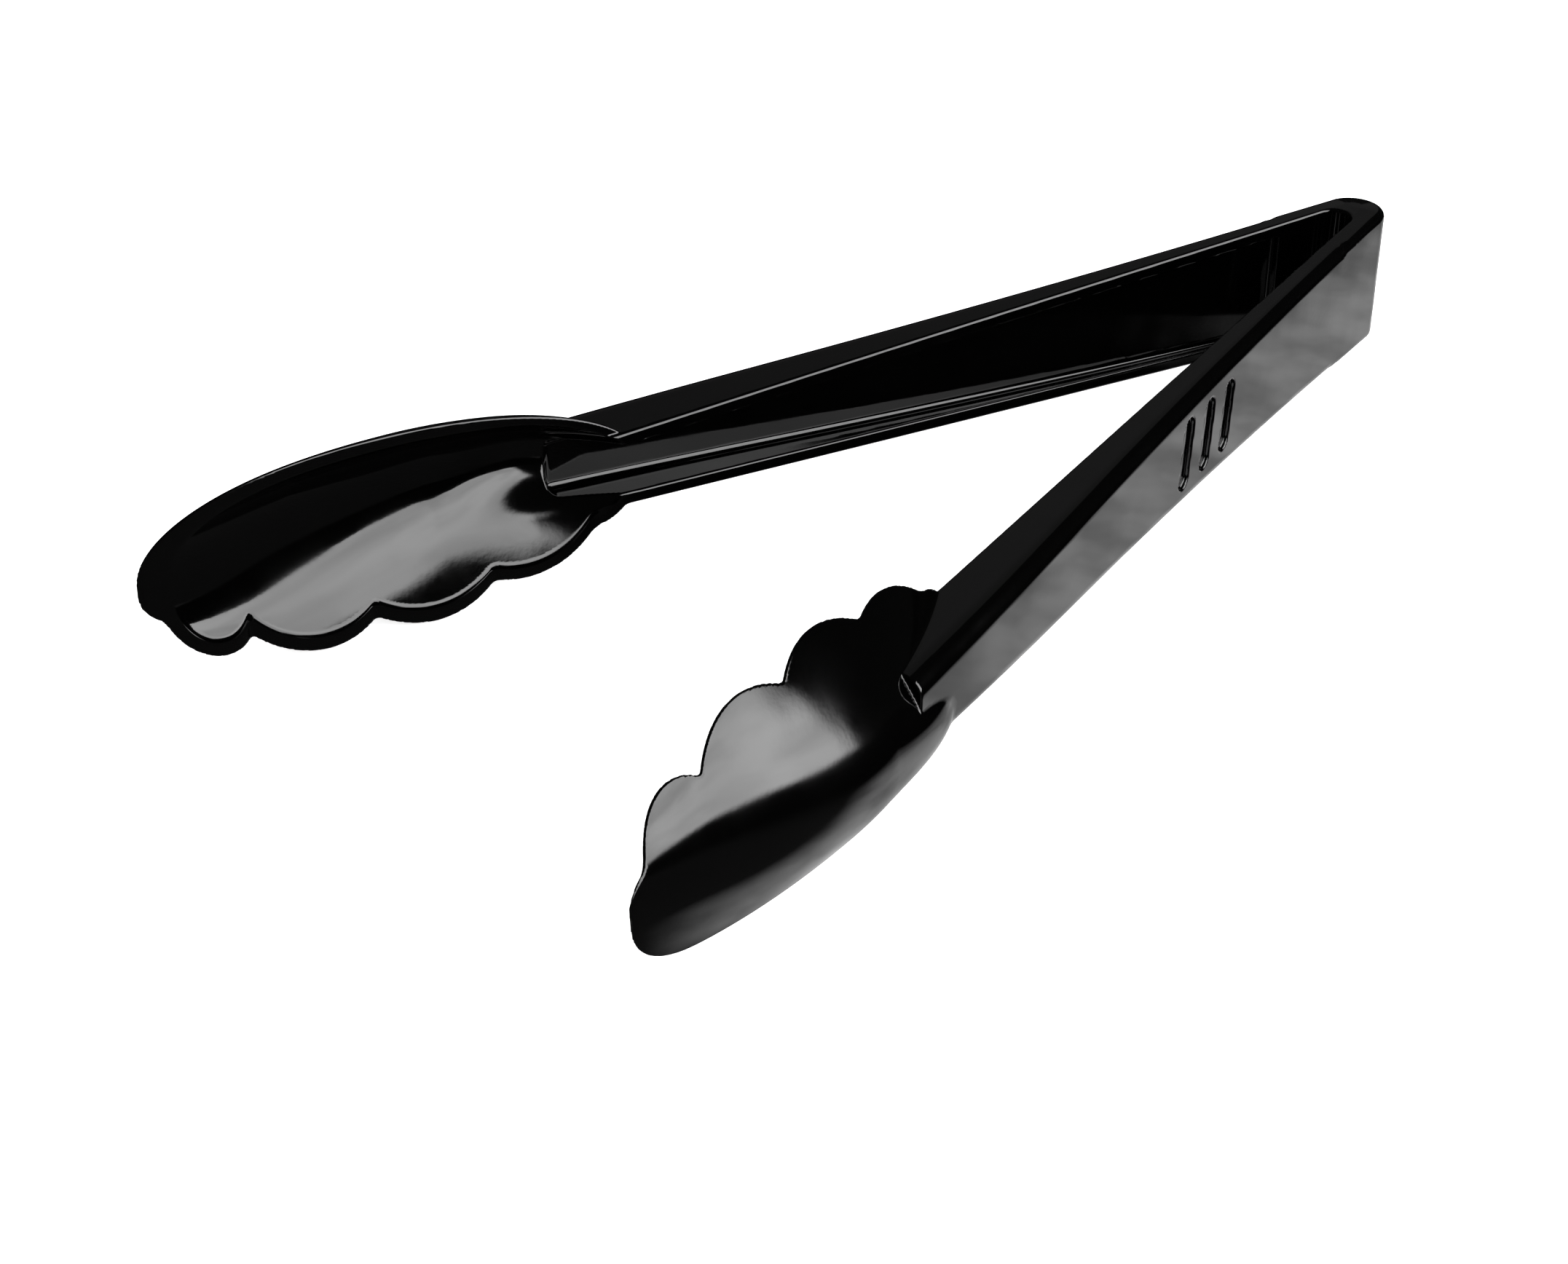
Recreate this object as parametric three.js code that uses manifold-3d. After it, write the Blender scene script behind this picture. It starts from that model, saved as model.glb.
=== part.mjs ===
// One-piece serving tongs: a round spring bow, two tapering channel arms and two scalloped bowls.
// Millimetres. +X runs from the bow to the tips, +Y to the left arm, +Z across the width of the arms.
// The origin is the centre of the crown's lower edge face, so the tongs lie on their side near z = 0.
// The tongs are one moulding. It is divided here into its working regions: the bow, the arms that
// flex out of it, and the bowls. Each arm turns about a knuckle at the end of the bow's leg.

import * as THREE from "three";
import { mergeVertices } from "three/addons/utils/BufferGeometryUtils.js";
import Module from "manifold-3d";

const wasm = await Module();
wasm.setup();

// ---- Driving dimensions -------------------------------------------------------------------------
const HALF_ANGLE = THREE.MathUtils.degToRad(14.8); // each arm's angle from the centre plane
const BOW_RADIUS = 7.5; // outside radius of the crown
const BOW_HALF_WIDTH = 16.3;
const CROWN_DEPTH = 11; // from the outside of the crown to the end of the slot between the arms
const SLOT_END_RADIUS = 2.2;

const HINGE_U = 12; // distance of the flexing point along the arm
const HINGE_V = -2.9; // its depth below the arm's outer face
const KNUCKLE_RADIUS = 2.7;
const RUNNING_GAP = 0.3; // between one region and the next

const NECK_U = 179.4; // the arm's taper ends here
const WEB_HALF = [16.0, 10.65]; // half width of the outer face, at the bow and at the neck
const MOUTH_HALF = [16.6, 8.9]; // half width over the free edges of the side walls
const DEPTH = [5.1, 12.6]; // outer face to the side walls' free edges
const CORNER = [0.8, 4.2]; // outside corner radius
const FLOOR_HALF = [14.2, 7.0]; // half width of the channel's floor
const SIDE_WALL = [3.5, 2.9]; // side wall thickness at its free edge
const WEB_WALL = 2.75;
const WEB_BOW_IN = 1.5; // the outer face curves inwards by this at mid length
const CHANNEL_START_U = 20;
const ARM_END_U = 216; // where the channel's floor ends in a step inside the bowl

const BOWL_WALL = 2.7;
const TIP_U = 296.9;
const RIM_START_U = 189;
const RIM_V = [-12.5, -11.3]; // the rim's level at its start and at its tip
const BOWL_MIDDLE_U = 243; // the rim is an oval about this station
const OVAL = [TIP_U - BOWL_MIDDLE_U, 20.3]; // its half length and half width
const BLUNTNESS = 2.3; // the oval's exponent towards the tip; 2 would be an ellipse
const BOWL_DEPTH = [16.4, 6.3]; // under the rim, at the heel and at the tip
const DEPTH_FALL_U = 218; // where the bowl starts to get shallower
const KEEL_SHIFT = [5.5, 1.4]; // how far the deepest line lies off the middle, at the heel and tip
const PLAIN_FLARE = 0.46; // how far round its quarter oval each wall has come when it meets the rim
const SCALLOP_FLARE = [0.84, 0.49]; // along the heel and at the tip
const FLARE_EASE_U = [238, 300];
const KEEL_EASE = 7; // half the width over which one wall's flare passes into the other's
// One edge is scalloped: arcs reach past the rim's level between these stations
const CUSP_U = [189.8, 200.5, 223.6, 249.5, 275.3, 292.0];
const SCALLOP_REACH = [0.5, 1.7, 2.7, 3.0, 2.9];
const MOST_REACH = 4; // the walls are first made this far past the rim, then trimmed
const BOWL_SPLIT_U = 205; // the arm's region ends and the bowl's region begins
const RINGS = 18;
const RING_POINTS = 56;

const GROOVE_U = [84.4, 94.6, 105.2];
const GROOVE_HALF_LENGTH = 8.0;
const GROOVE_HALF_WIDTH = 2.3;
const GROOVE_DEPTH = 0.9;

// A half-moon notch in each edge of the arm's outer face, beside the bow
const NOTCH_U = 20;
const NOTCH_Z = 18.1; // its centre, beyond the edge of the face
const NOTCH_RADIUS = 4.2;
const NOTCH_DEPTH = 1.2;

const FAR = 40; // beyond every surface of the moulding
const STATION_STEP = 10; // between one section of the arm and the next
const CORNER_STEPS = 4; // flats round a quarter corner
const ARC_STEPS = 10; // flats along a scallop

// ---- Small helpers ------------------------------------------------------------------------------
const { clamp, lerp, smoothstep } = THREE.MathUtils;

// A pair holds a value at the bow and at the neck; the taper runs on into the bowl
const along = (pair, u) => lerp(pair[0], pair[1], Math.max(0, u / NECK_U));
const webLevel = (u) => {
  const t = clamp(u / NECK_U, 0, 1);
  return -4 * WEB_BOW_IN * t * (1 - t);
};

// An arm frame: u along the arm, v outwards from the outer face's tangent line, z across the width.
// The geometry is made in (u, v, z) and placed by this matrix for the left (+1) or right (-1) arm.
// The right arm is the left one turned half round the x axis, so its scallops face down.
function placeArm(geometry, side) {
  const c = Math.cos(HALF_ANGLE);
  const s = Math.sin(HALF_ANGLE);
  const uAxis = new THREE.Vector3(c, side * s, 0);
  const vAxis = new THREE.Vector3(-s, side * c, 0);
  const matrix = new THREE.Matrix4().makeBasis(uAxis, vAxis, new THREE.Vector3(0, 0, side));
  const centre = new THREE.Vector3(BOW_RADIUS, 0, BOW_HALF_WIDTH).add(CROWN_OFFSET);
  matrix.setPosition(centre.addScaledVector(vAxis, BOW_RADIUS));
  return geometry.applyMatrix4(matrix);
}

// The origin sits in the middle of the crown's solid, on its lower edge face.
const CROWN_OFFSET = new THREE.Vector3(-CROWN_DEPTH / 2, 0, 0);

function flipFaces(geometry) {
  const index = geometry.getIndex();
  for (let i = 0; i < index.count; i += 3) {
    const a = index.getX(i);
    index.setX(i, index.getX(i + 1));
    index.setX(i + 1, a);
  }
}

// A closed solid through a row of rings: each a list of [v, z] at its own u, all wound the same way.
// Each end is closed by a fan from the middle of its ring.
function loft(rings) {
  const count = rings[0].points.length;
  const positions = [];
  const index = [];
  for (const ring of rings) {
    for (const [v, z] of ring.points) {
      positions.push(ring.u, v, z);
    }
  }
  for (let r = 0; r + 1 < rings.length; r += 1) {
    for (let i = 0; i < count; i += 1) {
      const j = (i + 1) % count;
      const a = r * count + i;
      const b = r * count + j;
      const c = a + count;
      const d = b + count;
      index.push(a, c, b, b, c, d);
    }
  }
  const last = (rings.length - 1) * count;
  for (const [ring, start, isEnd] of [[rings[0], 0, false], [rings.at(-1), last, true]]) {
    const hub = positions.length / 3;
    const middle = (k) => ring.points.reduce((sum, point) => sum + point[k], 0) / count;
    positions.push(ring.u, middle(0), middle(1));
    for (let i = 0; i < count; i += 1) {
      const a = start + i;
      const b = start + ((i + 1) % count);
      index.push(hub, isEnd ? b : a, isEnd ? a : b);
    }
  }
  const geometry = new THREE.BufferGeometry();
  geometry.setAttribute("position", new THREE.Float32BufferAttribute(positions, 3));
  geometry.setIndex(index);
  return toSolid(geometry);
}

function toSolid(geometry) {
  const bare = geometry.clone();
  bare.deleteAttribute("normal");
  bare.deleteAttribute("uv");
  const merged = mergeVertices(bare, 1e-5);
  const solid = new wasm.Manifold(new wasm.Mesh({
    numProp: 3,
    vertProperties: new Float32Array(merged.attributes.position.array),
    triVerts: new Uint32Array(merged.index.array),
  }));
  return solid.volume() < 0 ? reversed(merged) : solid;
}

function reversed(merged) {
  flipFaces(merged);
  return toSolid(merged);
}

function toGeometry(solid) {
  const mesh = solid.getMesh();
  const geometry = new THREE.BufferGeometry();
  geometry.setAttribute("position", new THREE.BufferAttribute(new Float32Array(mesh.vertProperties), 3));
  geometry.setIndex(new THREE.BufferAttribute(new Uint32Array(mesh.triVerts), 1));
  return geometry;
}

// A block in the arm frame, from low to high corner
function block(low, high) {
  const size = new THREE.Vector3().subVectors(high, low);
  const geometry = new THREE.BoxGeometry(size.x, size.y, size.z);
  const middle = new THREE.Vector3().addVectors(low, high).multiplyScalar(0.5);
  return toSolid(geometry.translate(middle.x, middle.y, middle.z));
}

// An upright cylinder in the arm frame
function post(u, v, radius, halfHeight) {
  const geometry = new THREE.CylinderGeometry(radius, radius, 2 * halfHeight, 48);
  return toSolid(geometry.rotateX(Math.PI / 2).translate(u, v, 0));
}

// ---- Arm ----------------------------------------------------------------------------------------
function stations(from, to, step) {
  const count = Math.max(1, Math.round((to - from) / step));
  return Array.from({ length: count + 1 }, (_, i) => from + ((to - from) * i) / count);
}

// Outer section: free edges at v = -depth, rounded corners at the web
function armOuterRing(u) {
  const web = webLevel(u);
  const half = along(WEB_HALF, u);
  const mouth = along(MOUTH_HALF, u);
  const depth = along(DEPTH, u);
  const radius = along(CORNER, u);
  const points = [[-depth, -mouth]];
  for (const side of [-1, 1]) {
    for (let i = 0; i <= CORNER_STEPS; i += 1) {
      const turn = (side < 0 ? CORNER_STEPS - i : i) / CORNER_STEPS;
      const angle = turn * (Math.PI / 2);
      const z = side * (half - radius + radius * Math.sin(angle));
      points.push([web - radius + radius * Math.cos(angle), z]);
    }
  }
  points.push([-depth, mouth]);
  return { u, points: points.reverse() };
}

// Inner section: the channel between the side walls, running out past their free edges
function channelRing(u) {
  const floor = webLevel(u) - WEB_WALL;
  const half = along(FLOOR_HALF, u);
  const depth = along(DEPTH, u);
  const mouth = along(MOUTH_HALF, u) - along(SIDE_WALL, u);
  const past = 2; // beyond the free edges
  const bevel = 1; // along the floor's sides
  const points = [[-depth - past, -mouth], [floor - bevel, -half], [floor, -half + bevel]];
  points.push([floor, half - bevel], [floor - bevel, half], [-depth - past, mouth]);
  return { u, points: points.reverse() };
}

function gripGroove(u) {
  const level = webLevel(u);
  const shape = new THREE.Shape();
  const reach = GROOVE_HALF_LENGTH - GROOVE_HALF_WIDTH;
  shape.absarc(0, reach, GROOVE_HALF_WIDTH, 0, Math.PI);
  shape.absarc(0, -reach, GROOVE_HALF_WIDTH, Math.PI, 2 * Math.PI);
  const geometry = new THREE.ExtrudeGeometry(shape, {
    depth: 2 * GROOVE_DEPTH, bevelEnabled: false, curveSegments: ARC_STEPS,
  });
  geometry.rotateX(Math.PI / 2).translate(u, level + GROOVE_DEPTH, 0);
  return toSolid(geometry);
}

function notch(side) {
  const geometry = new THREE.CylinderGeometry(NOTCH_RADIUS, NOTCH_RADIUS, 2 * NOTCH_DEPTH, 32);
  return toSolid(geometry.translate(NOTCH_U, webLevel(NOTCH_U), side * NOTCH_Z));
}

function armBody() {
  const channelEnd = ARM_END_U + 1; // clear of the solid's end face
  const channel = loft(stations(CHANNEL_START_U, channelEnd, STATION_STEP).map(channelRing));
  let body = loft(stations(HINGE_U, ARM_END_U, STATION_STEP).map(armOuterRing)).subtract(channel);
  for (const cut of [...GROOVE_U.map(gripGroove), notch(1), notch(-1)]) {
    body = body.subtract(cut);
  }
  return body;
}

// The arm's round knuckle, which turns in the socket at the end of the bow's leg
function knuckle() {
  const half = along(MOUTH_HALF, HINGE_U);
  return post(HINGE_U, HINGE_V, KNUCKLE_RADIUS, half - RUNNING_GAP);
}

// ---- Bowl ---------------------------------------------------------------------------------------
const alongBowl = (pair, u) => lerp(pair[0], pair[1], (u - RIM_START_U) / (TIP_U - RIM_START_U));
const rimLevel = (u) => alongBowl(RIM_V, u);

function bowlDepth(u) {
  const t = (u - DEPTH_FALL_U) / (TIP_U - DEPTH_FALL_U);
  const eased = (t + Math.sqrt(t * t + 0.01)) / 2;
  return lerp(BOWL_DEPTH[0], BOWL_DEPTH[1], eased);
}

// A point of the bowl's back at a share of the oval's size and an angle round it.
// The section is a quarter oval each side of the keel, steep at the plain edge and flared at the other.
function backPoint(share, angle) {
  const across = share * Math.sin(angle);
  const far = share * Math.cos(angle);
  const du = far > 0 ? far ** (2 / BLUNTNESS) : far;
  const u = BOWL_MIDDLE_U + OVAL[0] * du;
  const keel = alongBowl(KEEL_SHIFT, u);
  const shift = keel / OVAL[1];
  const skew = 1 - 4 * shift * (across - shift * (1 - far * far));
  const z = (OVAL[1] * (1 - Math.sqrt(skew))) / (2 * shift);
  const scallopFlare = lerp(SCALLOP_FLARE[0], SCALLOP_FLARE[1], smoothstep(u, ...FLARE_EASE_U));
  const flare = lerp(PLAIN_FLARE, scallopFlare, smoothstep(z + keel, -KEEL_EASE, KEEL_EASE));
  const round = Math.sqrt(Math.max(0, 1 - (1 - flare * flare) * share * share));
  const deep = bowlDepth(u) / (1 - flare);
  return new THREE.Vector3(u, rimLevel(u) + deep * (round - flare), z);
}

// The share at which the wall has reached past the rim far enough to be trimmed
function trimShare(angle) {
  const most = 1.15;
  for (let share = 1; share < most; share += 0.01) {
    const point = backPoint(share, angle);
    if (point.y < rimLevel(point.x) - MOST_REACH) {
      return share;
    }
  }
  return most;
}

function backNormal(share, angle) {
  const step = 1e-3;
  const outwards = backPoint(share + step, angle).sub(backPoint(share - step, angle));
  const round = backPoint(share, angle + step).sub(backPoint(share, angle - step));
  return round.cross(outwards).normalize();
}

// The bowl filled up to beyond its rim; an inset of the wall's thickness gives its hollow
function filledBowl(inset) {
  const positions = [];
  const index = [];
  const place = (share, angle) => (
    backPoint(share, angle).addScaledVector(backNormal(share, angle), -inset)
  );
  for (let r = 1; r <= RINGS + 1; r += 1) {
    for (let i = 0; i < RING_POINTS; i += 1) {
      const angle = (2 * Math.PI * i) / RING_POINTS;
      const point = place((trimShare(angle) * Math.min(r, RINGS)) / RINGS, angle);
      positions.push(point.x, r > RINGS ? -FAR : point.y, point.z);
    }
  }
  for (let r = 0; r < RINGS; r += 1) {
    for (let i = 0; i < RING_POINTS; i += 1) {
      const a = r * RING_POINTS + i;
      const b = r * RING_POINTS + ((i + 1) % RING_POINTS);
      index.push(a, b, a + RING_POINTS, b, b + RING_POINTS, a + RING_POINTS);
    }
  }
  const keel = positions.length / 3;
  const top = RINGS * RING_POINTS;
  const middle = place(1e-3, 0);
  positions.push(middle.x, middle.y, middle.z, middle.x, -FAR, middle.z);
  for (let i = 0; i < RING_POINTS; i += 1) {
    const next = (i + 1) % RING_POINTS;
    index.push(keel, next, i, keel + 1, top + i, top + next);
  }
  const geometry = new THREE.BufferGeometry();
  geometry.setAttribute("position", new THREE.Float32BufferAttribute(positions, 3));
  geometry.setIndex(index);
  return toSolid(geometry);
}

// Everything past the rim: up to its plain level on one side, up to the scallops on the other
function pastRim(scalloped) {
  const ends = [RIM_START_U - 20, TIP_U + 10];
  const shape = new THREE.Shape();
  shape.moveTo(ends[1], -2 * FAR);
  shape.lineTo(ends[0], -2 * FAR);
  shape.lineTo(ends[0], rimLevel(ends[0]));
  if (scalloped) {
    SCALLOP_REACH.forEach((reach, i) => {
      const half = (CUSP_U[i + 1] - CUSP_U[i]) / 2;
      const radius = (half * half) / (2 * reach) + reach / 2;
      for (let k = 0; k < ARC_STEPS; k += 1) {
        const off = half * ((2 * k) / ARC_STEPS - 1);
        const rise = Math.sqrt(radius * radius - off * off) - (radius - reach);
        const u = CUSP_U[i] + half + off;
        shape.lineTo(u, rimLevel(u) - rise);
      }
    });
    shape.lineTo(CUSP_U.at(-1), rimLevel(CUSP_U.at(-1)));
  }
  shape.lineTo(ends[1], rimLevel(ends[1]));
  const geometry = new THREE.ExtrudeGeometry(shape, { depth: FAR, bevelEnabled: false });
  return toSolid(geometry.translate(0, 0, scalloped ? 0 : -FAR));
}

function bowlBody() {
  const past = pastRim(true).add(pastRim(false));
  return { outer: filledBowl(0).subtract(past), inner: filledBowl(BOWL_WALL) };
}

// The channel's floor runs on into the bowl as a tongue and ends in a hollow step
function floorTongue() {
  const half = FLOOR_HALF[1];
  const low = new THREE.Vector3(NECK_U, webLevel(NECK_U) - WEB_WALL, -half);
  const slab = block(low, new THREE.Vector3(ARM_END_U, BOWL_WALL, half));
  return slab.subtract(post(ARM_END_U + half / 2, 0, half, FAR));
}

// ---- Regions of the moulding --------------------------------------------------------------------
function slabBetween(from, to) {
  return block(new THREE.Vector3(from, -FAR, -FAR), new THREE.Vector3(to, FAR, FAR));
}

function armAndBowl() {
  const bowl = bowlBody();
  const whole = armBody().add(bowl.outer).subtract(bowl.inner.subtract(floorTongue()));
  const arm = whole.intersect(slabBetween(0, BOWL_SPLIT_U)).add(knuckle());
  return { arm, bowl: whole.intersect(slabBetween(BOWL_SPLIT_U + RUNNING_GAP, TIP_U + FAR)) };
}

// The bow in plan: a round crown, two legs, and the slot between them
function bowSolid() {
  const c = Math.cos(HALF_ANGLE);
  const s = Math.sin(HALF_ANGLE);
  const at = (v, side) => [
    HINGE_U * c - (BOW_RADIUS + v) * s,
    side * (HINGE_U * s + (BOW_RADIUS + v) * c),
  ];
  const legDepth = along(DEPTH, HINGE_U);
  const square = Math.PI / 2;
  const shape = new THREE.Shape();
  shape.absarc(0, 0, BOW_RADIUS, square + HALF_ANGLE, 3 * square - HALF_ANGLE);
  shape.lineTo(...at(0, -1));
  shape.lineTo(...at(-legDepth, -1));
  const slotCentre = CROWN_DEPTH - BOW_RADIUS + SLOT_END_RADIUS;
  const slotTurn = [3 * square + HALF_ANGLE, square - HALF_ANGLE];
  shape.absarc(slotCentre, 0, SLOT_END_RADIUS, ...slotTurn, true);
  shape.lineTo(...at(-legDepth, 1));
  shape.lineTo(...at(0, 1));
  const geometry = new THREE.ExtrudeGeometry(shape, {
    depth: 2 * BOW_HALF_WIDTH, bevelEnabled: false, curveSegments: 32,
  });
  geometry.translate(BOW_RADIUS + CROWN_OFFSET.x, 0, 0);
  let bow = toSolid(geometry);
  for (const side of [1, -1]) {
    const socket = post(HINGE_U, HINGE_V, KNUCKLE_RADIUS + RUNNING_GAP, FAR);
    bow = bow.subtract(toSolid(placeArm(toGeometry(socket), side)));
  }
  return bow;
}

// ---- Assembly -----------------------------------------------------------------------------------
const BLACK_PLASTIC = { color: 0x0b0b0c, roughness: 0.18, metalness: 0 };

function named(name, geometry) {
  geometry.computeVertexNormals();
  const mesh = new THREE.Mesh(geometry, new THREE.MeshStandardMaterial(BLACK_PLASTIC));
  mesh.name = name;
  return mesh;
}

const group = new THREE.Group();
group.add(named("spring_bow", toGeometry(bowSolid())));
const { arm, bowl } = armAndBowl();
for (const [label, side] of [["left", 1], ["right", -1]]) {
  group.add(named(`${label}_arm`, placeArm(toGeometry(arm), side)));
  group.add(named(`${label}_bowl`, placeArm(toGeometry(bowl), side)));
}

export default group;
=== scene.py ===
"""Black plastic serving tongs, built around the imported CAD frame.

Each half of the moulding is one continuous skin: half of the bow, one arm and its bowl. The skin
is the zero level of a distance field, so every edge and junction has the small radii of a moulding.
The field works in millimetres in an arm's own axes: u along the arm from the bow's centre, v
outwards from the arm's outer face (negative towards the other arm), z across the width from the
middle.
"""

import math

import bmesh
import bpy
import numpy as np
from mathutils import Matrix, Vector


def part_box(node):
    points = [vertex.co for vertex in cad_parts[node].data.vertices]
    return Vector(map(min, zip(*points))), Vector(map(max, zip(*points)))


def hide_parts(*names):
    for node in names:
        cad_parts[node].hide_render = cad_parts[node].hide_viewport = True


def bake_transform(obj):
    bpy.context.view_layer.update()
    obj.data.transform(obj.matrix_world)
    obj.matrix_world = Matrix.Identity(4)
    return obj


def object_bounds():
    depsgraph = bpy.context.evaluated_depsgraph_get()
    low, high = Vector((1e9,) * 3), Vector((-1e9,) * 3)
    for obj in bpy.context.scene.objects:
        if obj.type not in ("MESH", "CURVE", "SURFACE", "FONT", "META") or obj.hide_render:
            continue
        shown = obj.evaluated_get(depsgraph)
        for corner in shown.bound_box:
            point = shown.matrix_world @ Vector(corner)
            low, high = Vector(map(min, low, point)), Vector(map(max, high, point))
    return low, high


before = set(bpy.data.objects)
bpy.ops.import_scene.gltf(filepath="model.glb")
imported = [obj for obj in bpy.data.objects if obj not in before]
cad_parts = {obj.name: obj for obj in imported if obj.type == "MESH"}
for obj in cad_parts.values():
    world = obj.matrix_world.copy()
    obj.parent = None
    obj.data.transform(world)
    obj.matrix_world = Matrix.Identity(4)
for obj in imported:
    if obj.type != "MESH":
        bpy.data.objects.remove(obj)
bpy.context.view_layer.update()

# ---- Driving dimensions, mm ----------------------------------------------------------------------
HALF_ANGLE = math.radians(14.8)
BOW_RADIUS = 7.5
CROWN_DEPTH = 11.0
SLOT_CORNER = 2.8
NECK_U = 179.4  # the arm narrows from the bow's centre to here
# The arm's section; each pair is a size at the bow and at the neck
WEB_HALF = (16.1, 10.65)  # half width of the outer face
MOUTH_HALF = (16.5, 8.9)  # half width at the channel's open side
DEPTH = (5.1, 12.6)
CORNER = (2.3, 4.2)  # rounding of the outer face's edges
CHANNEL_HALF = (14.2, 7.0)  # half width of the channel's floor
SIDE_WALL = (3.5, 2.9)  # thickness at the open side
TAPER_END = 1.25  # the taper runs on past the neck, to this share of NECK_U
WEB_WALL = 2.75
WEB_BOW_IN = 1.5  # how far the web bows in, midway to the neck
NECK_EASE = 0.14  # share of NECK_U over which the web's bowing in runs out
CHANNEL_START_U = 20.0
CHANNEL_END_U = 208.0  # it ends in a lip inside the bowl
CHANNEL_REACH = 1.5  # its sides keep their slope to this share of its depth
EDGE_ROUND = (0.3, 0.75)  # inside edges, on the plain and the scalloped side

BOWL_START_U = 189.0
BOWL_REACH = 8.0  # the bowl's field plays no part further back than this
BOWL_WALL = (2.1, 2.7)  # under the heel and elsewhere
WALL_EASE_U = (212.0, 232.0)
TIP_U = 297.5
RIM_V = (-12.5, -11.3)  # the rim's level at the bowl's start and at its tip
RIM_REACH = (-0.2, 1.1)  # its slope runs on past both, to these shares of the bowl's length
BOWL_MIDDLE_U = 243.0  # the rim is an oval about this station
OVAL = (TIP_U - BOWL_MIDDLE_U, 20.3)  # its half length and half width
BLUNTNESS = 2.3  # the oval's exponent towards the tip; 2 would be an ellipse
BOWL_DEPTH = (14.4, 6.3)  # under the rim, at the heel and at the tip
DEPTH_FALL_U = 230.0  # where the bowl starts to get shallower
FALL_EASE = 0.1  # softness of that start, as a share of the length from there to the tip
HEEL_DEPTH = 5.0  # more depth along the keel of the heel
HEEL_END_U = 232.0
HEEL_EASE = 30.0  # its extra depth comes in over this length
HEEL_SIDE_Z = (-1.0, 9.0)  # the heel's extra depth fades out between these, towards the scallops
KEEL_SHIFT = (5.5, 1.4)  # the deepest line lies this far from the middle, towards the plain edge
PLAIN_FLARE = 0.46  # how far round its quarter oval each wall has come when it meets the rim
SCALLOP_FLARE = (0.84, 0.49)  # along the heel and at the tip
FLARE_EASE_U = (238.0, 300.0)
FLARE_EASE_Z = 14.0  # the flare turns from one wall's to the other's over this width
# One edge is scalloped: arcs that reach past the rim's level between these stations
CUSP_U = (170.0, 189.8, 200.5, 223.6, 249.5, 275.3, 292.0, 303.0)
SCALLOP_REACH = (0.3, 0.5, 1.7, 2.7, 3.0, 2.9, 0.3)
CUSP_EASE = 0.8  # how softly two scallops meet
SCALLOP_EASE_Z = 5.0  # the plain edge turns into the scalloped one over this width
ARM_END_U = 222.0
ARM_END_ROUND = 0.35
CHANNEL_CORNER = 1.8  # the channel's inside corners
CHANNEL_END_ROUND = (0.6, 2.0)  # at its start and at its end
JOIN_FILLET = 0.3  # where the arm meets the bowl, outside and inside
JOIN_FILLET_INSIDE = 0.6
EDGE_EASE_Z = 4.0  # the inside edges change from one rounding to the other over this width
RIM_ROUND = 0.7  # outside edge of the rim; EDGE_ROUND is on its inside

GROOVE_U = (84.4, 94.6, 105.2)
GROOVE_HALF_LENGTH = 8.0
GROOVE_RADIUS = 2.3
GROOVE_DEPTH = 0.9
GROOVE_LEAN = 0.1  # along the arm for each mm across it
GROOVE_ROUND = 0.5

SHOULDER_U = 20.0  # the bow's tighter corners end here
SHOULDER_EASE = 3.0
BOW_CORNER = 1.7
NOTCH_RADIUS = 4.6
NOTCH_Z = 18.9  # centre of each half-moon scoop, beyond the outer face's edge
NOTCH_LEVEL = 1.6  # and outside the face
NOTCH_ROUND = 0.4


# ---- Field helpers -------------------------------------------------------------------------------
FAR = 1e3  # further than anything in the field, mm
TINY = 1e-9  # keeps divisions off zero


def both(a, b, r):
    """Inside both shapes, with the outer corner between them rounded to r."""
    round_part = np.sqrt(np.maximum(a + r, 0) ** 2 + np.maximum(b + r, 0) ** 2) - r
    return np.where((a > -r) & (b > -r), round_part, np.maximum(a, b))


def either(a, b, r):
    """Inside either shape, with a fillet of r where they meet."""
    return -both(-a, -b, r)


def between(pair, t):
    return pair[0] + (pair[1] - pair[0]) * t


def smooth_step(x):
    t = np.clip(x, 0, 1)
    return t * t * (3 - 2 * t)


def soft_least(a, b, k):
    """The lesser of a and b, eased together where they differ by less than k."""
    ease = np.maximum(k - np.abs(a - b), 0) / k
    return np.minimum(a, b) - ease * ease * k / 4


def web_level(u):
    """The web bows in between the bow and the neck, and runs out level."""
    t = np.maximum(soft_least(u / NECK_U, 1.0, NECK_EASE), 0)
    return -4 * WEB_BOW_IN * t * (1 - t)


def rim_level(u):
    part = (u - BOWL_START_U) / (TIP_U - BOWL_START_U)
    return between(RIM_V, np.clip(part, *RIM_REACH))


# ---- The bowl's rim ------------------------------------------------------------------------------
def scallop_circles():
    """Centre and radius of each scallop's arc, in the plane of u and reach past the rim's level."""
    circles = []
    for u0, u1, reach in zip(CUSP_U[:-1], CUSP_U[1:], SCALLOP_REACH):
        radius = (u1 - u0) ** 2 / (8 * reach) + reach / 2
        circles.append(((u0 + u1) / 2, reach - radius, radius))
    return circles


CIRCLES = scallop_circles()


def past_rim(u, v, z):
    """Distance past the rim's edge: scalloped where z > 0, plain where z < 0."""
    plain = rim_level(u) - v
    scalloped = np.full(u.shape, FAR)
    for centre, level, radius in CIRCLES:
        scalloped = soft_least(scalloped, np.hypot(u - centre, plain - level) - radius, CUSP_EASE)
    return between((plain, scalloped), smooth_step(z / SCALLOP_EASE_Z))


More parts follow.
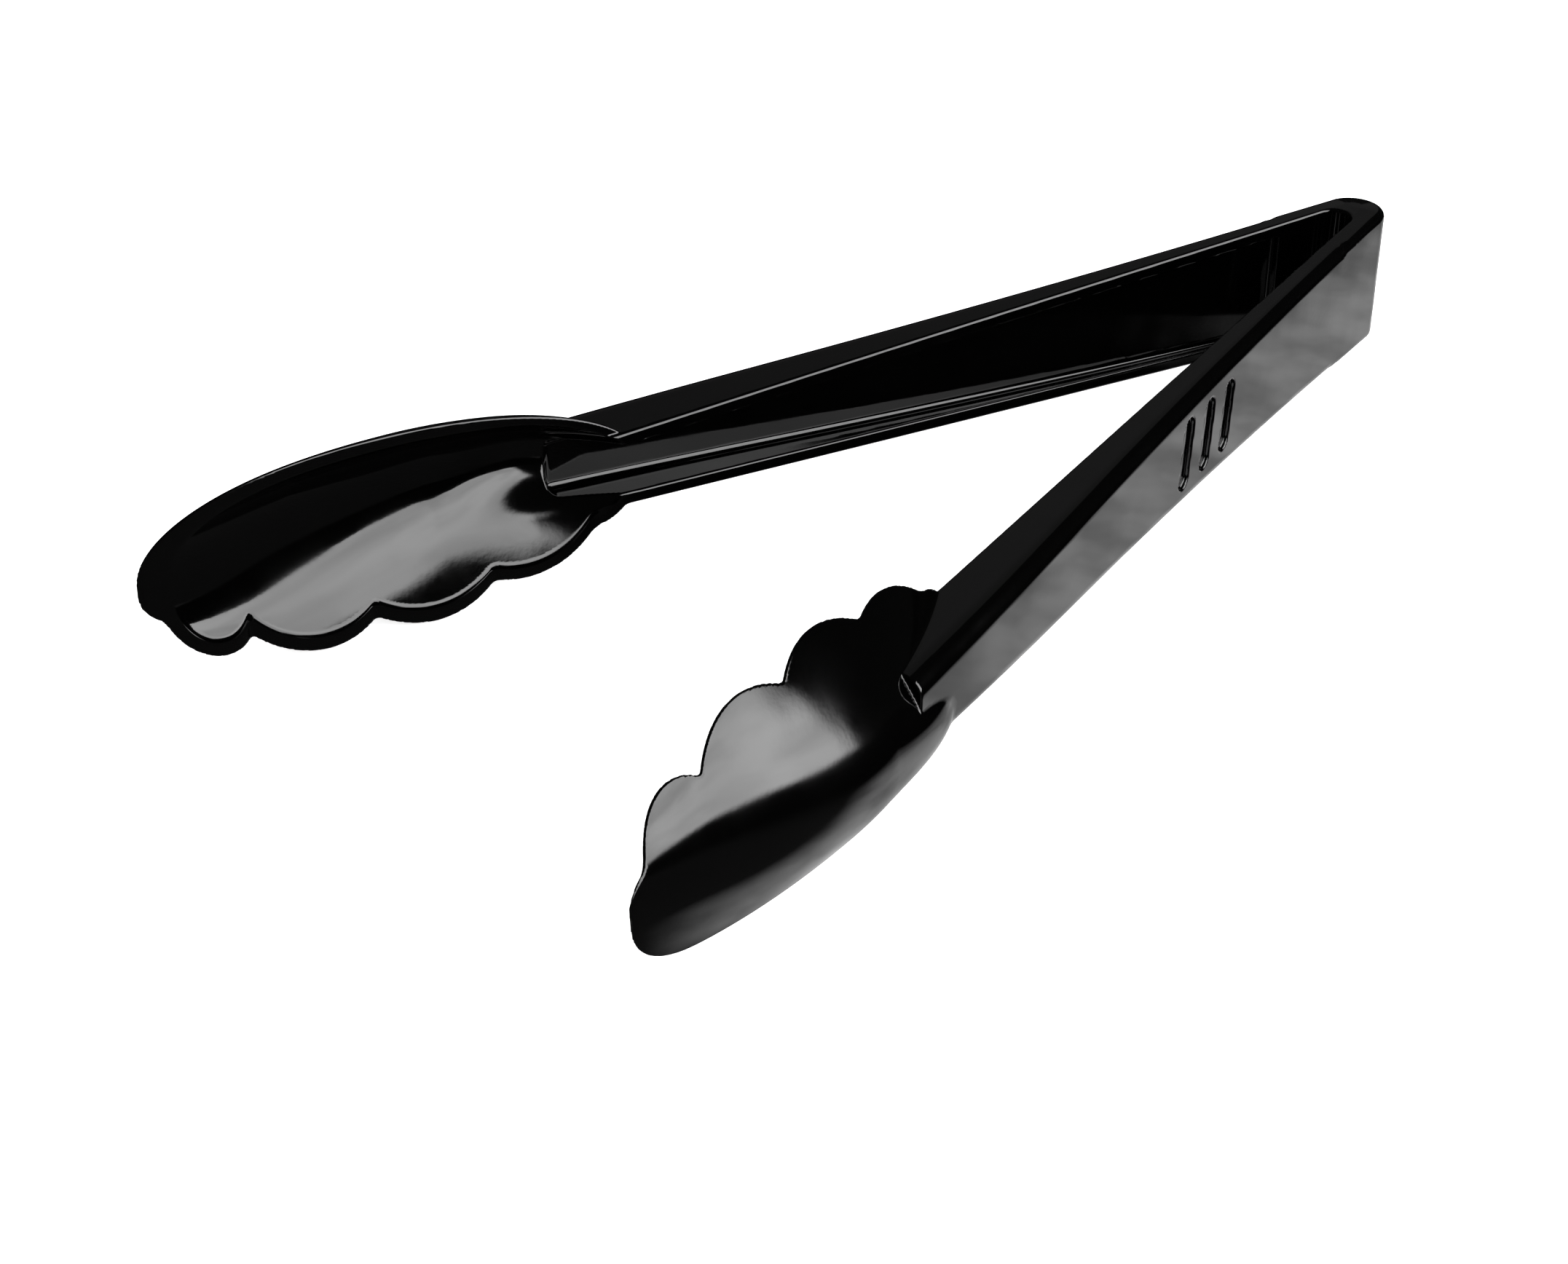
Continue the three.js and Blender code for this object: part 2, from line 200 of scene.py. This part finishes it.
# ---- Shapes --------------------------------------------------------------------------------------
def channel_arm(u, v, h):
    """The bow's half and the arm: a bar with rounded corners, without its channel."""
    level = np.where(u < 0, np.hypot(u, v + BOW_RADIUS) - BOW_RADIUS, v - web_level(u))
    t = np.clip(u / NECK_U, 0, TAPER_END)
    depth = between(DEPTH, t)
    down = np.clip(-level / depth, 0, 1)
    half = between((between(WEB_HALF, t), between(MOUTH_HALF, t)), down)
    past_shoulder = smooth_step((u - SHOULDER_U) / SHOULDER_EASE)
    corner = between((BOW_CORNER, between(CORNER, t)), past_shoulder)
    bar = both(level, h - half, corner)
    along_x = u * math.cos(HALF_ANGLE) - (v + BOW_RADIUS) * math.sin(HALF_ANGLE)
    slot = both(v + depth, CROWN_DEPTH - BOW_RADIUS - along_x, SLOT_CORNER)
    bar = both(bar, -slot, EDGE_ROUND[1])
    return both(bar, u - ARM_END_U, ARM_END_ROUND), level, t, depth


def channel(u, h, level, t, depth):
    """The hollow between the arm's side walls."""
    floor = level + WEB_WALL
    down = np.clip(-floor / (depth - WEB_WALL), 0, CHANNEL_REACH)
    half = between((between(CHANNEL_HALF, t), between(MOUTH_HALF, t) - between(SIDE_WALL, t)), down)
    hollow = both(floor, h - half, CHANNEL_CORNER)
    hollow = both(hollow, CHANNEL_START_U - u, CHANNEL_END_ROUND[0])
    return both(hollow, u - CHANNEL_END_U, CHANNEL_END_ROUND[1])


def bowl_back(u, v, z):
    """Distance outside the bowl's back: half an egg, steeper at the plain edge than the other."""
    du, dz = (u - BOWL_MIDDLE_U) / OVAL[0], z / OVAL[1]
    power = np.where(du > 0, BLUNTNESS, 2)
    du = np.abs(du) + TINY
    far = du ** (power / 2)
    far_slope = far / du * power / 2
    part = (u - BOWL_START_U) / (TIP_U - BOWL_START_U)
    keel = between(KEEL_SHIFT, part)
    shift = keel / OVAL[1]
    skewed = dz + shift * (1 - far * far - dz * dz)
    oval = np.sqrt(far * far + skewed * skewed) + TINY
    along = far * far_slope * (1 - skewed * shift * 2) / OVAL[0]
    aside = skewed * (1 - shift * 2 * dz) / OVAL[1]
    slope = np.hypot(along, aside) / oval
    ease = smooth_step((u - FLARE_EASE_U[0]) / (FLARE_EASE_U[1] - FLARE_EASE_U[0]))
    towards = smooth_step((z + keel) / FLARE_EASE_Z + 0.5)
    flare = between((PLAIN_FLARE, between(SCALLOP_FLARE, ease)), towards)
    fall = (u - DEPTH_FALL_U) / (TIP_U - DEPTH_FALL_U)
    side = (z - HEEL_SIDE_Z[0]) / (HEEL_SIDE_Z[1] - HEEL_SIDE_Z[0])
    more = HEEL_DEPTH * smooth_step((HEEL_END_U - u) / HEEL_EASE) * (1 - smooth_step(side))
    fall = (fall + np.sqrt(fall * fall + FALL_EASE * FALL_EASE)) / 2
    deep = (between(BOWL_DEPTH, fall) + more) / (1 - flare)
    edge = np.sqrt(1 - flare * flare)
    across = edge * oval
    down = np.maximum((v - rim_level(u)) / deep + flare, 0)
    radial = np.sqrt(across * across + down * down) + TINY
    steep = np.hypot(across * edge * slope, down / deep) + TINY
    return (radial - 1) * radial / steep


def notches(u, h, level):
    """A half-moon notch in each edge of the outer face, where the bow meets the arm."""
    return np.hypot(np.hypot(u - SHOULDER_U, h - NOTCH_Z), level - NOTCH_LEVEL) - NOTCH_RADIUS


def grip_grooves(u, z, level):
    """Three finger grooves across the arm's outer face."""
    grooves = np.full(u.shape, FAR)
    for centre in GROOVE_U:
        along_z = np.maximum(np.abs(z) - (GROOVE_HALF_LENGTH - GROOVE_RADIUS), 0)
        lean = GROOVE_LEAN * z
        plan = np.hypot(u - centre + lean, along_z) - GROOVE_RADIUS
        grooves = np.minimum(grooves, both(plan, -(level + GROOVE_DEPTH), GROOVE_ROUND))
    return grooves


def tongs_field(u, v, z):
    """Distance outside the whole moulding, roughly in mm; the bow mirrors about the centre."""
    c, s = math.cos(HALF_ANGLE), math.sin(HALF_ANGLE)
    x = u * c - (v + BOW_RADIUS) * s
    y = np.abs(u * s + (v + BOW_RADIUS) * c)
    u = x * c + y * s
    v = y * c - x * s - BOW_RADIUS
    h = np.abs(z)
    bar, level, t, depth = channel_arm(u, v, h)
    hollow = channel(u, h, level, t, depth)
    back = bowl_back(u, v, z)
    wall = between(BOWL_WALL, smooth_step((u - WALL_EASE_U[0]) / (WALL_EASE_U[1] - WALL_EASE_U[0])))
    near_bowl = u > BOWL_START_U - BOWL_REACH
    bowl = both(back, past_rim(u, v, z), RIM_ROUND)
    solid = np.where(near_bowl, either(bar, bowl, JOIN_FILLET), bar)
    cavity = np.where(near_bowl, either(hollow, back + wall, JOIN_FILLET_INSIDE), hollow)
    solid = both(solid, -cavity, between(EDGE_ROUND, smooth_step(z / EDGE_EASE_Z)))
    solid = both(solid, -notches(u, h, level), NOTCH_ROUND)
    return both(solid, -grip_grooves(u, z, level), GROOVE_ROUND)


# ---- From field to mesh --------------------------------------------------------------------------
MM = 0.001
PROJECT_STEPS = 4
GRADIENT_STEP = 0.03  # mm
LEAST_SLOPE = 0.05  # the gradient's square is taken as no less, where the field is flat
LONGEST_MOVE = 0.25  # of a vertex in one step, mm
EVEN_SHARE = 0.5  # of the way to the neighbours' middle that a vertex slides each round


def grid_line(marks):
    """Grid positions from marks of (start, step), the last one being the end."""
    line = []
    for (start, step), (end, _) in zip(marks[:-1], marks[1:]):
        count = max(1, round((end - start) / step))
        line.extend(start + (end - start) * i / count for i in range(count))
    line.append(marks[-1][0])
    return np.array(line)


def crossing_cells(values):
    """Cells of the grid whose corners aren't all on one side, as an array of (i, j, k)."""
    inside = values < 0
    corners = [
        inside[a:inside.shape[0] - 1 + a, b:inside.shape[1] - 1 + b, c:inside.shape[2] - 1 + c]
        for a in (0, 1) for b in (0, 1) for c in (0, 1)
    ]
    total = sum(corner.astype(np.int8) for corner in corners)
    return np.argwhere((total > 0) & (total < 8))


def surface_net(values, axes):
    """Quads along the zero level: a vertex for each crossed cell, a quad for each crossed edge."""
    cells = crossing_cells(values)
    number = np.full(np.array(values.shape) - 1, -1, np.int32)
    number[tuple(cells.T)] = np.arange(len(cells))
    total = np.zeros((len(cells), 3))
    count = np.zeros(len(cells))
    for axis in range(3):
        others = [k for k in range(3) if k != axis]
        for p in (0, 1):
            for q in (0, 1):
                low = cells.copy()
                low[:, others[0]] += p
                low[:, others[1]] += q
                high = low.copy()
                high[:, axis] += 1
                f0, f1 = values[tuple(low.T)], values[tuple(high.T)]
                cut = (f0 < 0) != (f1 < 0)
                share = np.where(cut, f0 / np.where(cut, f0 - f1, 1), 0)
                point = np.stack([axes[k][low[:, k]] for k in range(3)], 1)
                point[:, axis] += share * (axes[axis][high[:, axis]] - axes[axis][low[:, axis]])
                total += np.where(cut[:, None], point, 0)
                count += cut
    quads = []
    inside = values < 0
    for axis in range(3):
        b, c = (axis + 1) % 3, (axis + 2) % 3
        here = np.take(inside, range(inside.shape[axis] - 1), axis)
        after = np.take(inside, range(1, inside.shape[axis]), axis)
        edges = np.argwhere(here != after)
        leaving = here[tuple(edges.T)]
        safe = (edges[:, b] > 0) & (edges[:, c] > 0)
        safe &= (edges[:, b] < values.shape[b] - 1) & (edges[:, c] < values.shape[c] - 1)
        edges, leaving = edges[safe], leaving[safe]
        ring = []
        for db, dc in ((-1, -1), (0, -1), (0, 0), (-1, 0)):
            cell = edges.copy()
            cell[:, b] += db
            cell[:, c] += dc
            ring.append(number[tuple(cell.T)])
        ring = np.stack(ring, 1)
        quads.append(np.where(leaving[:, None], ring, ring[:, ::-1]))
    return total / count[:, None], np.vstack(quads)


def field_gradient(points):
    gradient = np.empty_like(points)
    for axis in range(3):
        step = np.zeros(3)
        step[axis] = GRADIENT_STEP
        ahead, behind = points + step, points - step
        gradient[:, axis] = (tongs_field(*ahead.T) - tongs_field(*behind.T)) / (2 * GRADIENT_STEP)
    return gradient


def onto_surface(points):
    """Newton steps along the gradient put every vertex on the zero level."""
    for _ in range(PROJECT_STEPS):
        gradient = field_gradient(points)
        size = np.maximum((gradient ** 2).sum(1), LEAST_SLOPE)
        move = (tongs_field(*points.T) / size)[:, None] * gradient
        length = np.linalg.norm(move, axis=1)[:, None]
        points = points - move * np.minimum(1, LONGEST_MOVE / np.maximum(length, TINY))
    return points


def evened(points, quads, rounds):
    """Slides vertices along the surface to their neighbours' middle, which squares the quads."""
    edges = np.vstack([quads[:, [k, (k + 1) % 4]] for k in range(4)])
    weight = np.bincount(edges.ravel(), minlength=len(points)).astype(float)
    for _ in range(rounds):
        middle = np.stack([
            np.bincount(edges[:, 0], points[edges[:, 1], k], len(points))
            + np.bincount(edges[:, 1], points[edges[:, 0], k], len(points))
            for k in range(3)
        ], 1) / weight[:, None]
        normal = field_gradient(points)
        normal /= np.linalg.norm(normal, axis=1)[:, None] + TINY
        move = middle - points
        move -= (move * normal).sum(1)[:, None] * normal
        points = onto_surface(points + EVEN_SHARE * move)
    return points


# ---- Pieces --------------------------------------------------------------------------------------
# Grids of the field, as marks of (start, step) in mm: finer at the bow, the grooves and the bowl
ALONG_GRID = [(-9, 0.5), (24, 1.0), (76, 0.5), (112, 1.0), (180, 0.4), (TIP_U + 2, 0)]
ACROSS_GRID = [(-17, 0.45), (4, 0)]
WIDTH_GRID = [(-26, 0.45), (26, 0)]
EVEN_ROUNDS = 3
CUT_TOLERANCE = 1e-6  # m


def crown_centre():
    """The bow's arc centre, from the CAD bow: its outside is one radius behind, at mid width."""
    low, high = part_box("spring_bow")
    return np.array([low.x / MM + BOW_RADIUS, 0.0, (low.z + high.z) / 2 / MM])


def arm_axes(side):
    """Unit vectors of u, v and z in the row frame for the left (+1) or right (-1) arm.

    The right half is the left one turned half round the row's x axis, so its scallops face down.
    """
    c, s = math.cos(HALF_ANGLE), math.sin(HALF_ANGLE)
    return np.array([[c, side * s, 0], [-s, side * c, 0], [0, 0, side]])


def to_row(points, side):
    shifted = points + np.array([0, BOW_RADIUS, 0])
    return (shifted @ arm_axes(side) + crown_centre()) * MM


def to_arm(points, side):
    return (points / MM - crown_centre()) @ arm_axes(side).T - np.array([0, BOW_RADIUS, 0])


def half_skin():
    """Vertices and quads of one half, in arm axes, reaching a little past the centre plane."""
    axes = [grid_line(marks) for marks in (ALONG_GRID, ACROSS_GRID, WIDTH_GRID)]
    values = tongs_field(*np.meshgrid(*axes, indexing="ij"))
    points, quads = surface_net(values, axes)
    return evened(onto_surface(points), quads, EVEN_ROUNDS), quads


def cut_at_centre(bm, side):
    """Cuts the half at the centre plane and closes the cut with one flat face."""
    geometry = bm.verts[:] + bm.edges[:] + bm.faces[:]
    bmesh.ops.bisect_plane(
        bm, geom=geometry, dist=CUT_TOLERANCE, plane_co=(0, 0, 0), plane_no=(0, side, 0), clear_inner=True
    )
    rim = [e for e in bm.edges if e.is_boundary]
    for face in bmesh.ops.contextual_create(bm, geom=rim)["faces"]:
        face.smooth = False
    for edge in rim:
        edge.smooth = False


def smooth_normals(mesh, side):
    """Vertex normals straight from the field, so reflections run on across the centre plane."""
    count = len(mesh.vertices)
    place = np.empty(count * 3, np.float32)
    mesh.vertices.foreach_get("co", place)
    points = to_arm(place.reshape(-1, 3).astype(float), side)
    normal = field_gradient(points) @ arm_axes(side)
    normal /= np.linalg.norm(normal, axis=1)[:, None] + TINY
    mesh.normals_split_custom_set_from_vertices(normal.tolist())


def moulding_half(name, side, points, quads, material):
    mesh = bpy.data.meshes.new(name)
    mesh.from_pydata(to_row(points, side).tolist(), [], quads.tolist())
    bm = bmesh.new()
    bm.from_mesh(mesh)
    for face in bm.faces:
        face.smooth = True
    cut_at_centre(bm, side)
    bmesh.ops.recalc_face_normals(bm, faces=bm.faces)
    bm.to_mesh(mesh)
    bm.free()
    smooth_normals(mesh, side)
    mesh.materials.append(material)
    piece = bpy.data.objects.new(name, mesh)
    bpy.context.scene.collection.objects.link(piece)
    return piece


# ---- Materials -----------------------------------------------------------------------------------
# In metres, with noise scales in waves a metre; a pair is the two ends of a range
BLACK = (0.0002, 0.0002, 0.00022, 1)
PLASTIC_IOR = 1.55
ROUGHNESS = (0.045, 0.10)
HAZE_SCALE = 55
HAZE_RANGE = (0.35, 0.7)  # the noise's values at the two ends of ROUGHNESS
WAVE_SCALE = 38
WAVE_HEIGHT = 0.00035
SKIN_SCALE = 900
SKIN_HEIGHT = 0.0000035
NOISE_RANGE = (0.3, 0.7)  # where most of a noise texture's values lie

FLOOR_WHITE = (0.86, 0.86, 0.86, 1)
FLOOR_ROUGHNESS = 0.8
FLOOR_GLOW = 0.55
# In the plastic's gloss the floor shows a painted pool of light along each arm, a glow seen only by
# glossy rays.
# It starts under the arm and fades outwards, sooner beside the bowls, and shows only to rays that slant
# along the x axis. Distances outwards are from a line through the origin along the arm.
PATCH_GLOW = 0.78
PATCH_START = (-0.010, 0.004)
PATCH_FADE = (0.026, 0.055)
PATCH_BOWLS_X = (0.19, 0.24)
PATCH_BOWLS_FADE = 2.0  # how many times sooner it fades there
PATCH_TIPS_X = (0.23, 0.30)
PATCH_TIPS_GLOW = 0.55
PATCH_SLANT = (0.35, 0.6)
CLOUD_SCALE = 45
CLOUD_GLOW = (0.7, 1.3)
# Painted shade: in gloss the rest of the floor, between and behind the arms, stays dim.
ELSEWHERE_X = (0.17, 0.22)  # the rest of the floor is dim, and less so past the neck
ELSEWHERE_GLOW = (0.003, 0.045)

CLOTH_SCALE = 2.5
CLOTH_GLOW = (0.8, 1.2)
CLOTH_EDGE = (0.42, 0.5)  # it fades out here, as shares of its width and height from the middle


def new_material(name):
    material = bpy.data.materials.new(name)
    material.use_nodes = True
    tree = material.node_tree
    return material, tree.nodes, tree.links, tree.nodes["Principled BSDF"]


def noise(nodes, links, where, scale, detail):
    """A noise texture over object space."""
    texture = nodes.new("ShaderNodeTexNoise")
    texture.inputs["Scale"].default_value = scale
    texture.inputs["Detail"].default_value = detail
    links.new(where.outputs["Object"], texture.inputs["Vector"])
    return texture.outputs["Fac"]


def mapped(nodes, links, value, span, to):
    """The value rescaled smoothly from one range to another."""
    ramp = nodes.new("ShaderNodeMapRange")
    ramp.interpolation_type = "SMOOTHSTEP"
    for name, number in zip(("From Min", "From Max", "To Min", "To Max"), (*span, *to)):
        ramp.inputs[name].default_value = number
    links.new(value, ramp.inputs["Value"])
    return ramp.outputs["Result"]


def bumped(nodes, links, height, distance, normal=None):
    bump = nodes.new("ShaderNodeBump")
    bump.inputs["Strength"].default_value = 1.0
    bump.inputs["Distance"].default_value = distance
    links.new(height, bump.inputs["Height"])
    if normal:
        links.new(normal, bump.inputs["Normal"])
    return bump.outputs["Normal"]


def black_plastic():
    """Glossy black moulded plastic: slow sink waves, a fine skin, and patches of faint haze."""
    material, nodes, links, shader = new_material("black_plastic")
    where = nodes.new("ShaderNodeTexCoord")
    shader.inputs["Base Color"].default_value = BLACK
    shader.inputs["IOR"].default_value = PLASTIC_IOR
    haze = noise(nodes, links, where, HAZE_SCALE, detail=4.0)
    links.new(mapped(nodes, links, haze, HAZE_RANGE, ROUGHNESS), shader.inputs["Roughness"])
    waves = noise(nodes, links, where, WAVE_SCALE, detail=1.5)
    skin = noise(nodes, links, where, SKIN_SCALE, detail=2.0)
    normal = bumped(nodes, links, waves, WAVE_HEIGHT)
    links.new(bumped(nodes, links, skin, SKIN_HEIGHT, normal), shader.inputs["Normal"])
    return material


def math_result(nodes, links, kind, a, b=None):
    """A math node's result for two numbers or sockets."""
    node = nodes.new("ShaderNodeMath")
    node.operation = kind
    for slot, value in zip(node.inputs, (a, b)):
        if isinstance(value, float):
            slot.default_value = value
        elif value is not None:
            links.new(value, slot)
    return node.outputs[0]


def seen_in_gloss(nodes, links, otherwise, gloss, output):
    """Shows one shader in glossy reflections and the other everywhere else."""
    path = nodes.new("ShaderNodeLightPath")
    mix = nodes.new("ShaderNodeMixShader")
    links.new(path.outputs["Is Glossy Ray"], mix.inputs[0])
    links.new(otherwise.outputs[0], mix.inputs[1])
    links.new(gloss.outputs[0], mix.inputs[2])
    links.new(mix.outputs[0], output.inputs["Surface"])


def painted_gloss_light(nodes, links):
    """Painted light on the floor, seen only in the plastic's gloss: how brightly it shows, from place and
    direction.
    """
    where = nodes.new("ShaderNodeNewGeometry")
    place = nodes.new("ShaderNodeSeparateXYZ")
    links.new(where.outputs["Position"], place.inputs[0])
    towards = nodes.new("ShaderNodeSeparateXYZ")
    links.new(where.outputs["Incoming"], towards.inputs[0])

    def math_of(kind, a, b=None):
        return math_result(nodes, links, kind, a, b)

    aside = math_of("MULTIPLY", math_of("ABSOLUTE", place.outputs["Y"]), math.cos(HALF_ANGLE))
    ahead = math_of("MULTIPLY", place.outputs["X"], math.sin(HALF_ANGLE))
    outwards = math_of("SUBTRACT", aside, ahead)
    # painted light: the floor glows in a patch beside each arm
    lit = mapped(nodes, links, outwards, PATCH_START, (0.0, PATCH_GLOW))
    sooner = mapped(nodes, links, place.outputs["X"], PATCH_BOWLS_X, (1.0, PATCH_BOWLS_FADE))
    fading = mapped(nodes, links, math_of("MULTIPLY", outwards, sooner), PATCH_FADE, (1.0, 0.0))
    slant = math_of("ABSOLUTE", towards.outputs["X"])
    slanting = mapped(nodes, links, slant, PATCH_SLANT, (0.0, 1.0))
    position = nodes.new("ShaderNodeTexCoord")
    cloud = noise(nodes, links, position, CLOUD_SCALE, detail=3.0)
    clouds = mapped(nodes, links, cloud, NOISE_RANGE, CLOUD_GLOW)
    tips = mapped(nodes, links, place.outputs["X"], PATCH_TIPS_X, (1.0, PATCH_TIPS_GLOW))
    patch = lit
    for factor in (fading, slanting, clouds, tips):
        patch = math_of("MULTIPLY", patch, factor)
    # painted shade: the rest of the floor stays dim in gloss
    elsewhere = mapped(nodes, links, place.outputs["X"], ELSEWHERE_X, ELSEWHERE_GLOW)
    return math_of("MAXIMUM", patch, elsewhere)


def pale_floor():
    """White to the camera; in the plastic's gloss, a painted patch of light beside the arms that fades
    away, with painted shade elsewhere.
    """
    material, nodes, links, shader = new_material("pale_floor")
    shader.inputs["Base Color"].default_value = FLOOR_WHITE
    shader.inputs["Roughness"].default_value = FLOOR_ROUGHNESS
    shader.inputs["Specular IOR Level"].default_value = 0.0
    shader.inputs["Emission Color"].default_value = (1, 1, 1, 1)
    shader.inputs["Emission Strength"].default_value = FLOOR_GLOW
    # painted light: an emission that only glossy rays see
    glow = nodes.new("ShaderNodeEmission")
    links.new(painted_gloss_light(nodes, links), glow.inputs["Strength"])
    seen_in_gloss(nodes, links, shader, glow, nodes["Material Output"])
    return material


def soft_panel_glow(radiance):
    """A lit cloth panel: bright in the middle, soft at its edges, a little uneven."""
    material, nodes, links, _ = new_material("soft_panel")
    where = nodes.new("ShaderNodeTexCoord")
    split = nodes.new("ShaderNodeSeparateXYZ")
    links.new(where.outputs["Generated"], split.inputs[0])
    uneven = noise(nodes, links, where, CLOTH_SCALE, detail=4.0)
    strengths = tuple(share * radiance for share in CLOTH_GLOW)
    strength = mapped(nodes, links, uneven, NOISE_RANGE, strengths)
    for axis in ("X", "Y"):
        centred = math_result(nodes, links, "SUBTRACT", split.outputs[axis], 0.5)
        centred = math_result(nodes, links, "ABSOLUTE", centred)
        edge = mapped(nodes, links, centred, CLOTH_EDGE, (1.0, 0.0))
        strength = math_result(nodes, links, "MULTIPLY", strength, edge)
    glow = nodes.new("ShaderNodeEmission")
    links.new(strength, glow.inputs["Strength"])
    links.new(glow.outputs[0], nodes["Material Output"].inputs["Surface"])
    return material


# ---- Build ---------------------------------------------------------------------------------------
plastic = black_plastic()
skin_points, skin_quads = half_skin()
for side_name, sign in (("left", 1), ("right", -1)):
    half = moulding_half(f"{side_name}_half", sign, skin_points, skin_quads, plastic)
    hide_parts(f"{side_name}_arm", f"{side_name}_bowl", "spring_bow")
    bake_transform(half)

# ---- Stage ---------------------------------------------------------------------------------------
LENS = 60.3
CAMERA_SPOT = np.array([495.1, 326.5, 257.2])  # from the bow's arc centre, mm
CAMERA_YAW = math.radians(-133.498)
CAMERA_PITCH = math.radians(31.754)
CAMERA_ROLL = math.radians(0.355)
STAGE_MIDDLE = Vector((0.14, 0.0, 0.016))  # what the panels face, m
FLOOR_SIZE = 6  # m
FLOOR_GAP = 0.0005  # under the tongs, m
DARK_CLOTH = 0.012  # how brightly the studio round the panels shows in gloss
# Azimuth and elevation in degrees, distance in metres
KEY = {"azimuth": 110, "elevation": 25, "distance": 1.2, "radiance": 5.4}
SIDE = {"azimuth": 226, "elevation": 34, "distance": 1.4, "radiance": 0.07}
TOP = {"azimuth": 60, "elevation": 80, "distance": 1.5, "radiance": 1.0}


def add_camera():
    data = bpy.data.cameras.new("camera")
    data.lens = LENS
    data.clip_end = 50
    camera = bpy.data.objects.new("camera", data)
    cy, sy = math.cos(CAMERA_YAW), math.sin(CAMERA_YAW)
    cp, sp = math.cos(CAMERA_PITCH), math.sin(CAMERA_PITCH)
    ahead = np.array([cy * cp, sy * cp, -sp])
    right = np.array([sy, -cy, 0])
    down = np.cross(ahead, right)
    cr, sr = math.cos(CAMERA_ROLL), math.sin(CAMERA_ROLL)
    right, down = cr * right + sr * down, cr * down - sr * right
    place = (CAMERA_SPOT + crown_centre()) * MM
    matrix = Matrix.Identity(4)
    for column, axis in enumerate((right, -down, -ahead, place)):
        for row in range(3):
            matrix[row][column] = axis[row]
    camera.matrix_world = matrix
    bpy.context.scene.collection.objects.link(camera)
    bpy.context.scene.camera = camera


def add_floor():
    mesh = bpy.data.meshes.new("floor")
    bm = bmesh.new()
    bmesh.ops.create_grid(bm, x_segments=1, y_segments=1, size=FLOOR_SIZE)
    bm.to_mesh(mesh)
    bm.free()
    mesh.materials.append(pale_floor())
    floor = bpy.data.objects.new("floor", mesh)
    floor.location = (0, 0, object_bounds()[0][2] - FLOOR_GAP)
    bpy.context.scene.collection.objects.link(floor)


def add_world():
    """White to the camera, nearly black in reflections, as in a studio hung with dark cloth."""
    world = bpy.data.worlds.new("studio")
    bpy.context.scene.world = world
    world.use_nodes = True
    nodes, links = world.node_tree.nodes, world.node_tree.links
    white = nodes["Background"]
    white.inputs["Color"].default_value = (1, 1, 1, 1)
    white.inputs["Strength"].default_value = 1.0
    dark = nodes.new("ShaderNodeBackground")
    dark.inputs["Color"].default_value = (1, 1, 1, 1)
    dark.inputs["Strength"].default_value = DARK_CLOTH
    seen_in_gloss(nodes, links, white, dark, nodes["World Output"])


def panel_direction(azimuth, elevation):
    """Unit vector away from the tongs. Azimuth turns from +X towards +Y; both in degrees."""
    a, e = math.radians(azimuth), math.radians(elevation)
    return Vector((math.cos(a) * math.cos(e), math.sin(a) * math.cos(e), math.sin(e)))


def add_panel(name, azimuth, elevation, distance, width, height, radiance, in_gloss=True):
    """A soft light facing the tongs; sizes and distance in metres."""
    away = panel_direction(azimuth, elevation)
    data = bpy.data.lights.new(name, "AREA")
    data.shape = "RECTANGLE"
    data.size = width
    data.size_y = height
    data.energy = radiance * math.pi * width * height
    panel = bpy.data.objects.new(name, data)
    panel.location = STAGE_MIDDLE + away * distance
    panel.rotation_euler = away.to_track_quat("Z", "Y").to_euler()
    panel.visible_glossy = in_gloss
    bpy.context.scene.collection.objects.link(panel)


def add_reflected_panel(name, azimuth, elevation, distance, width, height, radiance):
    """The key light's cloth front, which shows only in glossy reflections."""
    away = panel_direction(azimuth, elevation)
    mesh = bpy.data.meshes.new(name)
    corners = [(x * width / 2, y * height / 2, 0) for x, y in ((-1, -1), (1, -1), (1, 1), (-1, 1))]
    mesh.from_pydata(corners, [], [(0, 1, 2, 3)])
    mesh.materials.append(soft_panel_glow(radiance))
    panel = bpy.data.objects.new(name, mesh)
    panel.location = STAGE_MIDDLE + away * distance
    panel.rotation_euler = away.to_track_quat("Z", "Y").to_euler()
    panel.visible_camera = False
    panel.visible_diffuse = False
    panel.visible_shadow = False
    bpy.context.scene.collection.objects.link(panel)


add_camera()
add_floor()
add_world()
add_panel("key_panel", **KEY, width=1.65, height=1.08, in_gloss=False)
add_reflected_panel("key_cloth", **KEY, width=1.75, height=1.18)
add_panel("side_panel", **SIDE, width=1.2, height=0.9)
add_panel("top_light", **TOP, width=1.5, height=1.5, in_gloss=False)
bpy.context.scene.view_settings.view_transform = "Standard"
